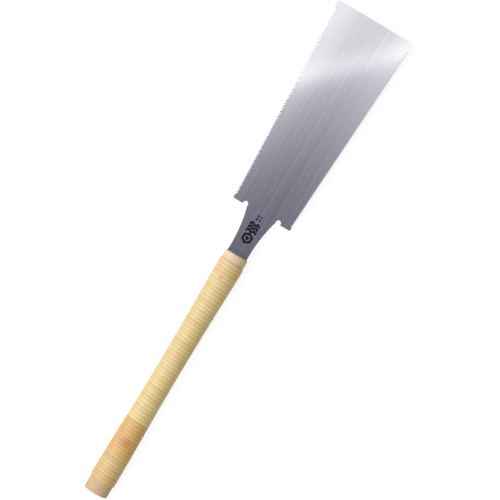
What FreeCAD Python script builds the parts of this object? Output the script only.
import FreeCAD, Part
import Sketcher
import math
import os

# A double-edged pull saw that lies flat, toe towards +X: coarse rip teeth along its +Y edge, fine crosscut
# teeth along its -Y edge. One thin steel plate runs into a long oval wooden handle, made in two halves and
# bound with two spliced strips of rattan. Every sub-part is drawn with X measured from the butt of the
# handle and with Z = 0 in the middle of the plate. The Placement then puts the winding on Z = 0 and the
# origin under the saw's middle.

# Driving dimensions: alias, value in millimetres (or a plain ratio or count), meaning.
SIZES = [
    ("plate_thickness", 0.5, "spring steel sheet, the same all over"),
    ("blade_length", 240.0, "heel edge to toe edge"),
    ("heel_width", 70.6, "across the tooth tips at the heel"),
    ("toe_width", 94.2, "across the corners at the toe"),
    ("neck_length", 51.0, "front end of the handle to the heel edge"),
    ("neck_width", 23.4, "at the narrowest place, just in front of the handle"),
    ("neck_straight", 7.0, "front end of the handle to the narrowest place"),
    ("flare_radius", 163.0, "hollow curve that widens the neck towards the plate"),
    ("neck_inset", 1.0, "uncut neck's side, inside the middle of the relief"),
    ("relief_radius", 2.75, "rounded relief between neck and heel edge"),
    ("relief_offset", 20.4, "middle of the relief from the saw's centre line"),
    ("relief_reach", 1.4, "middle of the relief in front of the heel edge"),
    ("corner_radius", 1.4, "outer corners of the plate"),
    ("lip_radius", 0.6, "corner between the relief and the heel edge"),
    ("tang_length", 96.0, "hidden in the handle"),
    ("tang_root_width", 21.0, "at the front end of the handle"),
    ("tang_tip_width", 8.0, "at the hidden end"),
    ("slot_clearance", 0.2, "round the tang's edges in the wood"),
    ("rip_start", 4.0, "heel edge to the first rip gullet"),
    ("rip_count", 70, "rip gullets"),
    ("rip_pitch", 2.55, "first rip pitch, at the heel"),
    ("rip_growth", 1.0067, "each rip pitch over the one before it"),
    ("rip_depth", 1.0, "rip gullet depth over its pitch"),
    ("rip_front_angle", -18.0, "degrees: the cutting face leans this far towards the handle"),
    ("cross_start", 4.0, "heel edge to the first crosscut gullet"),
    ("cross_count", 140, "crosscut gullets"),
    ("cross_pitch", 1.62, "crosscut pitch"),
    ("cross_depth", 0.93, "crosscut gullet depth over its pitch"),
    ("cross_front_angle", 12.0, "degrees: the cutting face slopes back from the tip"),
    ("tooth_land", 0.1, "flat left at each tooth tip"),
    ("gullet_flat", 0.12, "flat at the bottom of each gullet"),
    ("handle_length", 297.0, "butt to front end"),
    ("handle_flatness", 0.86, "handle thickness over its width"),
    ("butt_width", 27.2, "bare wood at the butt"),
    ("belly_width", 27.25, "wood at its widest, under the first turns"),
    ("palm_width", 26.4, "wood under the lower hand"),
    ("taper_width", 24.5, "wood a third of the way up"),
    ("waist_width", 23.75, "wood at the waist"),
    ("rise_width", 24.75, "wood where it swells again"),
    ("shoulder_width", 26.7, "wood under the last turns at the front"),
    ("collar_width", 26.6, "bare wood at the front end"),
    ("belly_station", 20.0, "from the butt"),
    ("palm_station", 60.0, "from the butt"),
    ("taper_station", 106.0, "from the butt"),
    ("waist_station", 160.0, "from the butt"),
    ("rise_station", 224.0, "from the butt"),
    ("shoulder_station", 280.0, "from the butt"),
    ("butt_dome", 70.0, "radius of the slightly domed end grain"),
    ("butt_edge", 1.2, "rounded edge of the butt"),
    ("collar_edge", 0.8, "eased edge at the front end"),
    ("butt_bare", 16.4, "bare wood behind the winding"),
    ("collar_bare", 10.0, "bare wood in front of the winding"),
    ("splice_station", 90.0, "butt to the splice between the two strips"),
    ("strip_thickness", 1.1, "rattan strip, standing proud of the wood"),
]

STATIONS = ["belly", "palm", "taper", "waist", "rise", "shoulder"]

HEEL = "(sizes.handle_length + sizes.neck_length)"
TOE = "(sizes.handle_length + sizes.neck_length + sizes.blade_length)"
PAST_EDGE = 2.0      # how far cutters and overlapping features run past what they meet
WIDE = 60.0          # more than half of any width
PARALLEL = 0.99      # least cosine between two directions that count as the same
NEAR = 0.5           # two places closer than this count as the same
ON_FACE = 0.1        # an edge whose points are all this close to a level lies on it


def make_size_sheet(doc):
    """Put the driving dimensions in the size sheet, one aliased plain number to a row."""
    sheet = doc.addObject("Spreadsheet::Sheet", "sizes")
    for row, (alias, value, meaning) in enumerate(SIZES, start=1):
        sheet.set("A%d" % row, alias)
        sheet.set("B%d" % row, str(value))
        sheet.set("C%d" % row, meaning)
        sheet.setAlias("B%d" % row, alias)
    doc.recompute()
    return sheet


def origin_feature(body, role):
    """The body's own origin plane or axis with this role."""
    for feature in body.Origin.OriginFeatures:
        if feature.Role == role:
            return feature
    raise ValueError("no origin feature " + role)


def new_sketch(body, name, plane):
    """An empty sketch on one of the body's own origin planes."""
    sketch = body.newObject("Sketcher::SketchObject", name)
    sketch.AttachmentSupport = (origin_feature(body, plane), [""])
    sketch.MapMode = "FlatFace"
    return sketch


def pin_point(sketch, geometry, end, along, formula):
    """Fix one coordinate of a point, from the sketch's origin, to a formula on the size sheet."""
    value = sketch.evalExpression(formula)
    if value < 0:
        constraint = Sketcher.Constraint(along, geometry, end, -1, 1, -value)
        formula = "-(" + formula + ")"
    else:
        constraint = Sketcher.Constraint(along, -1, 1, geometry, end, value)
    number = sketch.addConstraint(constraint)
    sketch.setExpression("Constraints[%d]" % number, formula)


def set_radius(sketch, geometry, formula):
    """Fix the radius of a circle or an arc to a formula on the size sheet."""
    value = sketch.evalExpression(formula)
    number = sketch.addConstraint(Sketcher.Constraint("Radius", geometry, value))
    sketch.setExpression("Constraints[%d]" % number, formula)


def vector(sketch, corner):
    """The sketch point that a pair of formulas stands for."""
    return FreeCAD.Vector(sketch.evalExpression(corner[0]), sketch.evalExpression(corner[1]), 0)


def draw_polygon(sketch, corners):
    """A closed outline of straight lines through corners, each a pair of formulas."""
    points = [vector(sketch, corner) for corner in corners]
    lines = []
    for start, end in zip(points, points[1:] + points[:1]):
        lines.append(sketch.addGeometry(Part.LineSegment(start, end)))
    for line, following in zip(lines, lines[1:] + lines[:1]):
        sketch.addConstraint(Sketcher.Constraint("Coincident", line, 2, following, 1))
    for line, (across, upward) in zip(lines, corners):
        pin_point(sketch, line, 1, "DistanceX", across)
        pin_point(sketch, line, 1, "DistanceY", upward)


def draw_circle(sketch, centre, radius):
    """A circle from a pair of formulas for its centre and one for its radius."""
    circle = Part.Circle(vector(sketch, centre), FreeCAD.Vector(0, 0, 1), sketch.evalExpression(radius))
    geometry = sketch.addGeometry(circle)
    pin_point(sketch, geometry, 3, "DistanceX", centre[0])
    pin_point(sketch, geometry, 3, "DistanceY", centre[1])
    set_radius(sketch, geometry, radius)


def draw_relief(sketch, side):
    """A U-shaped notch that opens towards the handle and has a round bottom, on the side +1 or -1."""
    centre = (HEEL + " + sizes.relief_reach", "%d * sizes.relief_offset" % side)
    mouth = HEEL + " - %g" % PAST_EDGE
    middle = vector(sketch, centre)
    radius = sketch.evalExpression("sizes.relief_radius")
    opening = sketch.evalExpression(mouth)
    low = FreeCAD.Vector(opening, middle.y - radius, 0)
    high = FreeCAD.Vector(opening, middle.y + radius, 0)
    round_end = Part.Circle(middle, FreeCAD.Vector(0, 0, 1), radius)
    arc = sketch.addGeometry(Part.ArcOfCircle(round_end, -math.pi / 2, math.pi / 2))
    upper = sketch.addGeometry(Part.LineSegment(FreeCAD.Vector(middle.x, high.y, 0), high))
    back = sketch.addGeometry(Part.LineSegment(high, low))
    lower = sketch.addGeometry(Part.LineSegment(low, FreeCAD.Vector(middle.x, low.y, 0)))
    sketch.addConstraint(Sketcher.Constraint("Tangent", arc, 2, upper, 1))
    sketch.addConstraint(Sketcher.Constraint("Coincident", upper, 2, back, 1))
    sketch.addConstraint(Sketcher.Constraint("Coincident", back, 2, lower, 1))
    sketch.addConstraint(Sketcher.Constraint("Tangent", lower, 2, arc, 1))
    sketch.addConstraint(Sketcher.Constraint("Horizontal", upper))
    sketch.addConstraint(Sketcher.Constraint("Horizontal", lower))
    sketch.addConstraint(Sketcher.Constraint("Vertical", back))
    pin_point(sketch, arc, 3, "DistanceX", centre[0])
    pin_point(sketch, arc, 3, "DistanceY", centre[1])
    pin_point(sketch, back, 1, "DistanceX", mouth)
    set_radius(sketch, arc, "sizes.relief_radius")


def add_plate_feature(body, kind, sketch, thickness):
    """A pad or a pocket of the sketch, centred on the middle of the plate."""
    feature = body.newObject("PartDesign::" + kind, sketch.Name + "_" + kind.lower())
    feature.Profile = sketch
    feature.SideType = "Symmetric"
    feature.setExpression("Length", thickness)
    return feature


def tang_corners(front, clearance):
    """The tapered tang from its hidden tip to front: four corners, widened all round by the clearance."""
    tip = "sizes.handle_length - sizes.tang_length - %s" % clearance
    root = "(sizes.tang_root_width / 2 + %s)" % clearance
    end = "(sizes.tang_tip_width / 2 + %s)" % clearance
    return [(tip, "-" + end), (front, "-" + root), (front, root), (tip, end)]


def upright_edges(shape, places):
    """Names of the edges that stand across the plate at each of the given X, Y places."""
    names = []
    for number, edge in enumerate(shape.Edges, start=1):
        middle = edge.CenterOfMass
        upright = abs(edge.tangentAt(edge.FirstParameter).z) > PARALLEL
        if upright and any(math.hypot(middle.x - x, middle.y - y) < NEAR for x, y in places):
            names.append("Edge%d" % number)
    return names


def round_corners(body, base, name, places, radius):
    """Fillet the plate's corners at the given places; each one takes a little metal away."""
    names = upright_edges(base.Shape, places)
    if len(names) != len(places):
        raise ValueError("corners not found for " + name)
    fillet = body.newObject("PartDesign::Fillet", name)
    fillet.Base = (base, names)
    fillet.setExpression("Radius", radius)
    return fillet


def make_blade_blank(doc, sheet):
    """The steel before its teeth are cut: neck, plate and tang, with the reliefs and rounded corners."""
    body = doc.addObject("PartDesign::Body", "blade_blank")

    neck = new_sketch(body, "neck", "XY_Plane")
    back, front = "sizes.handle_length", HEEL + " + %g" % PAST_EDGE
    half = "(sizes.relief_offset - sizes.neck_inset)"
    draw_polygon(neck, [(back, "-" + half), (front, "-" + half), (front, half), (back, half)])
    add_plate_feature(body, "Pad", neck, "sizes.plate_thickness")
    doc.recompute()

    flare = new_sketch(body, "flare", "XY_Plane")
    for side in (1, -1):
        centre_y = "%d * (sizes.neck_width / 2 + sizes.flare_radius)" % side
        draw_circle(flare, ("sizes.handle_length + sizes.neck_straight", centre_y), "sizes.flare_radius")
    uncut = body.Shape.Volume
    add_plate_feature(body, "Pocket", flare, "sizes.plate_thickness * 2")
    doc.recompute()
    if body.Shape.Volume >= uncut:
        raise ValueError("the neck's flare cuts nothing")

    plate = new_sketch(body, "plate", "XY_Plane")
    heel_half, toe_half = "(sizes.heel_width / 2)", "(sizes.toe_width / 2)"
    heel_corners = [(HEEL, heel_half), (HEEL, "-" + heel_half)]
    draw_polygon(plate, heel_corners + [(TOE, "-" + toe_half), (TOE, toe_half)])
    add_plate_feature(body, "Pad", plate, "sizes.plate_thickness")
    doc.recompute()

    relief = new_sketch(body, "relief", "XY_Plane")
    draw_relief(relief, 1)
    draw_relief(relief, -1)
    uncut = body.Shape.Volume
    reliefs = add_plate_feature(body, "Pocket", relief, "sizes.plate_thickness * 2")
    doc.recompute()
    if body.Shape.Volume >= uncut:
        raise ValueError("the reliefs cut nothing")

    heel = sheet.handle_length + sheet.neck_length
    toe = heel + sheet.blade_length
    lip = sheet.relief_offset + sheet.relief_radius
    corners = [(heel, side * sheet.heel_width / 2) for side in (1, -1)]
    corners += [(toe, side * sheet.toe_width / 2) for side in (1, -1)]
    rounded = round_corners(body, reliefs, "plate_corners", corners, "sizes.corner_radius")
    doc.recompute()
    lips = [(heel, side * lip) for side in (1, -1)]
    round_corners(body, rounded, "relief_lips", lips, "sizes.lip_radius")

    # The seam across the neck stays as an edge, so the bare steel in front of the handle is its own face.
    tang = new_sketch(body, "tang", "XY_Plane")
    draw_polygon(tang, tang_corners("sizes.handle_length", "0"))
    add_plate_feature(body, "Pad", tang, "sizes.plate_thickness").Refine = False
    doc.recompute()
    return body


def gullet_prism(sheet, side, start, pitch, depth, front_angle):
    """One gullet as a prism: down the back of a tooth, along the bottom and up the next cutting face."""
    lean = depth * math.tan(math.radians(front_angle))
    tip = start + pitch
    outline = [
        (start + sheet.tooth_land, PAST_EDGE),
        (start + sheet.tooth_land, 0),
        (tip - lean - sheet.gullet_flat, -depth),
        (tip - lean, -depth),
        (tip, 0),
        (tip, PAST_EDGE),
    ]
    heel = sheet.handle_length + sheet.neck_length
    flare = math.atan2((sheet.toe_width - sheet.heel_width) / 2, sheet.blade_length)
    along_x, along_y = math.cos(flare), side * math.sin(flare)
    out_x, out_y = -math.sin(flare), side * math.cos(flare)
    points = []
    for along, out in outline:
        x = heel + along * along_x + out * out_x
        y = side * sheet.heel_width / 2 + along * along_y + out * out_y
        points.append(FreeCAD.Vector(x, y, -sheet.plate_thickness))
    face = Part.Face(Part.makePolygon(points + points[:1]))
    return face.extrude(FreeCAD.Vector(0, 0, 2 * sheet.plate_thickness))


def make_gullets(doc, sheet):
    """All the gullets, a prism each: rip pitches grow towards the toe, crosscut pitches are even."""
    prisms = []
    start = sheet.rip_start
    pitch = sheet.rip_pitch
    for _ in range(int(sheet.rip_count)):
        depth = sheet.rip_depth * pitch
        prisms.append(gullet_prism(sheet, 1, start, pitch, depth, sheet.rip_front_angle))
        start += pitch
        pitch *= sheet.rip_growth
    start = sheet.cross_start
    pitch = sheet.cross_pitch
    depth = sheet.cross_depth * pitch
    for _ in range(int(sheet.cross_count)):
        prisms.append(gullet_prism(sheet, -1, start, pitch, depth, sheet.cross_front_angle))
        start += pitch
    gullets = doc.addObject("Part::Feature", "gullets")
    gullets.Shape = Part.makeCompound(prisms)
    return gullets


def make_blade(doc, sheet):
    """The blade: the blank with every gullet cut out of it, which leaves the teeth standing."""
    blank = make_blade_blank(doc, sheet)
    gullets = make_gullets(doc, sheet)
    blade = cut(doc, "blade", blank, gullets)
    blade.Refine = False
    doc.recompute()
    if blade.Shape.Volume >= blank.Shape.Volume:
        raise ValueError("the gullets cut nothing")
    return blade


def cut(doc, name, base, tool):
    """Base with the tool taken out of it."""
    result = doc.addObject("Part::Cut", name)
    result.Base = base
    result.Tool = tool
    return result


def common(doc, name, base, tool):
    """What base and tool share."""
    result = doc.addObject("Part::Common", name)
    result.Base = base
    result.Tool = tool
    return result


def box(doc, name, start, length, bottom, height):
    """A box right across the saw: start and length along X, bottom and height along Z, as formulas."""
    result = doc.addObject("Part::Box", name)
    result.setExpression("Placement.Base.x", start)
    result.setExpression("Placement.Base.z", bottom)
    result.setExpression("Length", length)
    result.setExpression("Height", height)
    result.Width = 2 * WIDE
    result.Placement.Base.y = -WIDE
    return result


def draw_oval(sketch, width, thickness):
    """An ellipse about the sketch's origin, its long axis level, from formulas for width and thickness."""
    wide = sketch.evalExpression(width)
    thick = sketch.evalExpression(thickness)
    centre = FreeCAD.Vector(0, 0, 0)
    ellipse = Part.Ellipse(FreeCAD.Vector(wide / 2, 0, 0), FreeCAD.Vector(0, thick / 2, 0), centre)
    oval = sketch.addGeometry(ellipse)
    sketch.exposeInternalGeometry(oval)
    long_axis, short_axis = oval + 1, oval + 2
    sketch.addConstraint(Sketcher.Constraint("Coincident", oval, 3, -1, 1))
    sketch.addConstraint(Sketcher.Constraint("Horizontal", long_axis))
    for axis, formula, value in ((long_axis, width, wide), (short_axis, thickness, thick)):
        number = sketch.addConstraint(Sketcher.Constraint("Distance", axis, value))
        sketch.setExpression("Constraints[%d]" % number, formula)


def make_oval_loft(doc, name, allowance):
    """A body lofted along the handle through ovals, each larger than the wood by the allowance."""
    body = doc.addObject("PartDesign::Body", name)
    places = [("butt", "0")]
    places += [(station, "sizes.%s_station" % station) for station in STATIONS]
    places += [("collar", "sizes.handle_length")]
    sketches = []
    for station, place in places:
        sketch = new_sketch(body, name + "_" + station, "YZ_Plane")
        sketch.setExpression("AttachmentOffset.Base.z", place)
        width = "sizes.%s_width + %s" % (station, allowance)
        draw_oval(sketch, width, "sizes.%s_width * sizes.handle_flatness + %s" % (station, allowance))
        sketches.append(sketch)
    doc.recompute()
    loft = body.newObject("PartDesign::AdditiveLoft", name + "_loft")
    loft.Profile = sketches[0]
    loft.Sections = sketches[1:]
    doc.recompute()
    return body


def end_edges(shape, x_low, x_high):
    """Numbers of the edges that lie wholly between two X places."""
    numbers = []
    for number, edge in enumerate(shape.Edges, start=1):
        bounds = edge.BoundBox
        if bounds.XMin > x_low and bounds.XMax < x_high:
            numbers.append(number)
    return numbers


def ease_edges(doc, kind, name, base, numbers, size):
    """A Part fillet or chamfer of one size on the numbered edges of the base."""
    if not numbers:
        raise ValueError("no edges for " + name)
    result = doc.addObject("Part::" + kind, name)
    result.Base = base
    result.Edges = [(number, size, size) for number in numbers]
    doc.recompute()
    return result


def make_handle_blank(doc, sheet):
    """The whole wooden handle: an oval loft with a slightly domed butt and eased ends."""
    loft = make_oval_loft(doc, "handle_loft", "0")
    tall = ("-%g" % WIDE, "%g" % (2 * WIDE))
    end_block = box(doc, "end_block", "-%g" % PAST_EDGE, "sizes.butt_bare", *tall)
    dome = doc.addObject("Part::Sphere", "dome")
    dome.setExpression("Radius", "sizes.butt_dome")
    dome.setExpression("Placement.Base.x", "sizes.butt_dome")
    domed = cut(doc, "domed_handle", loft, cut(doc, "end_waste", end_block, dome))
    doc.recompute()
    if domed.Shape.Volume >= loft.Shape.Volume:
        raise ValueError("the dome cuts nothing")
    butt = end_edges(domed.Shape, -PAST_EDGE, sheet.butt_bare / 2)
    rounded = ease_edges(doc, "Fillet", "rounded_handle", domed, butt, sheet.butt_edge)
    front = end_edges(rounded.Shape, sheet.handle_length - ON_FACE, sheet.handle_length + ON_FACE)
    return ease_edges(doc, "Chamfer", "handle_blank", rounded, front, sheet.collar_edge)


def make_handle_cores(doc, handle):
    """The two halves of the handle, split level with the plate, each with half of the tang's slot."""
    slot = doc.addObject("PartDesign::Body", "tang_slot")
    outline = new_sketch(slot, "slot", "XY_Plane")
    draw_polygon(outline, tang_corners("sizes.handle_length + %g" % PAST_EDGE, "sizes.slot_clearance"))
    add_plate_feature(slot, "Pad", outline, "sizes.plate_thickness")
    doc.recompute()
    halves = []
    back, length = "-%g" % PAST_EDGE, "sizes.handle_length + %g" % (2 * PAST_EDGE)
    for name, bottom in (("handle_core_upper", "0"), ("handle_core_lower", "-%g" % WIDE)):
        side = box(doc, name + "_side", back, length, bottom, "%g" % WIDE)
        halves.append(cut(doc, name, common(doc, name + "_half", handle, side), slot))
    doc.recompute()
    return halves


def make_rattan_strips(doc, handle):
    """The bound winding as two sleeves that fit the wood, one for each of the spliced strips."""
    winding = make_oval_loft(doc, "winding_loft", "2 * sizes.strip_thickness")
    tall = ("-%g" % WIDE, "%g" % (2 * WIDE))
    stretches = [
        ("rattan_strip_butt", "sizes.butt_bare", "sizes.splice_station"),
        ("rattan_strip_front", "sizes.splice_station", "sizes.handle_length - sizes.collar_bare"),
    ]
    strips = []
    for name, back, front in stretches:
        reach = box(doc, name + "_reach", back, "%s - (%s)" % (front, back), *tall)
        strips.append(cut(doc, name, common(doc, name + "_solid", winding, reach), handle))
    doc.recompute()
    return strips


def place(sub_parts):
    """Move every sub-part so that the saw's middle is over the origin and the winding rests on Z = 0."""
    rest_height = "(sizes.belly_width * sizes.handle_flatness / 2 + sizes.strip_thickness)"
    for part in sub_parts:
        part.setExpression("Placement.Base.x", "-" + TOE + " / 2")
        part.setExpression("Placement.Base.z", rest_height)


def check(doc, sub_parts):
    """Stop if any object failed to recompute or any sub-part's shape is missing or not valid."""
    for item in doc.Objects:
        if "Invalid" in item.State or "Error" in item.State:
            raise ValueError("failed object " + item.Name)
    for part in sub_parts:
        if part.Shape.isNull() or not part.Shape.isValid():
            raise ValueError("bad shape " + part.Label)
        bounds = part.Shape.BoundBox
        print("%-20s %9.1f mm3  solids %d  x %.2f to %.2f  y %.2f to %.2f  z %.2f to %.2f" % (
            part.Label, part.Shape.Volume, len(part.Shape.Solids),
            bounds.XMin, bounds.XMax, bounds.YMin, bounds.YMax, bounds.ZMin, bounds.ZMax))


document = FreeCAD.newDocument("pull_saw")
sizes = make_size_sheet(document)
handle_blank = make_handle_blank(document, sizes)
saw = [make_blade(document, sizes)]
saw += make_handle_cores(document, handle_blank)
saw += make_rattan_strips(document, handle_blank)
place(saw)
document.recompute()
check(document, saw)
os.makedirs("parts", exist_ok=True)
for sub_part in saw:
    sub_part.Shape.exportStep("parts/%s.step" % sub_part.Label)
